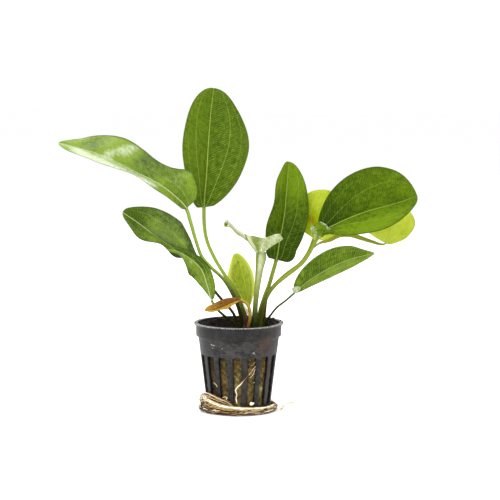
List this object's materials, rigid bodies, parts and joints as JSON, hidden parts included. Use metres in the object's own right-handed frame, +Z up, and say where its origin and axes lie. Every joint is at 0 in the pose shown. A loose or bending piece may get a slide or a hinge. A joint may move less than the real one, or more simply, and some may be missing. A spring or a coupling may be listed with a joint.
{
  "type": "potted water plant",
  "caption": "Broad-leaved water plant with petioled oval leaves, rooted in a small black slotted net pot with roots wound round its foot.",
  "frame": {"origin": "centre of the pot's underside, on the surface it stands on", "axes": "+Z up, +X to the viewer's right, the viewer on the -Y side"},
  "size_m": [0.2132, 0.0672, 0.1935],
  "materials": {
    "pot_plastic": "satin",
    "rockwool": "matte",
    "gravel": "matte",
    "crown_skin": "satin",
    "dry_sheath_skin": "matte",
    "leaf_green": "satin",
    "leaf_gloss": "gloss",
    "leaf_dark": "satin",
    "leaf_yellow": "satin",
    "leaf_pale": "satin",
    "leaf_dead": "matte",
    "root_pale": "matte",
    "root_tan": "matte"
  },
  "bodies": {
    "root": {"pot": "pot_plastic", "growing_medium": "rockwool", "substrate": "gravel", "crown": "crown_skin", "dry_sheath": "dry_sheath_skin", "leaf_tall": "leaf_green", "leaf_left_upper": "leaf_gloss", "leaf_left_middle": "leaf_gloss", "leaf_left_lower": "leaf_gloss", "leaf_centre_upright": "leaf_dark", "leaf_right_large": "leaf_dark", "leaf_yellow_inner": "leaf_yellow", "leaf_yellow_outer": "leaf_yellow", "leaf_young": "leaf_pale", "leaf_small_back": "leaf_yellow", "leaf_right_lower": "leaf_green", "leaf_brown": "leaf_dead", "root_mat": "root_tan", "root_thick": "root_pale", "root_brown": "root_tan", "root_front": "root_pale", "root_stray": "root_pale"}
  },
  "joints": []
}
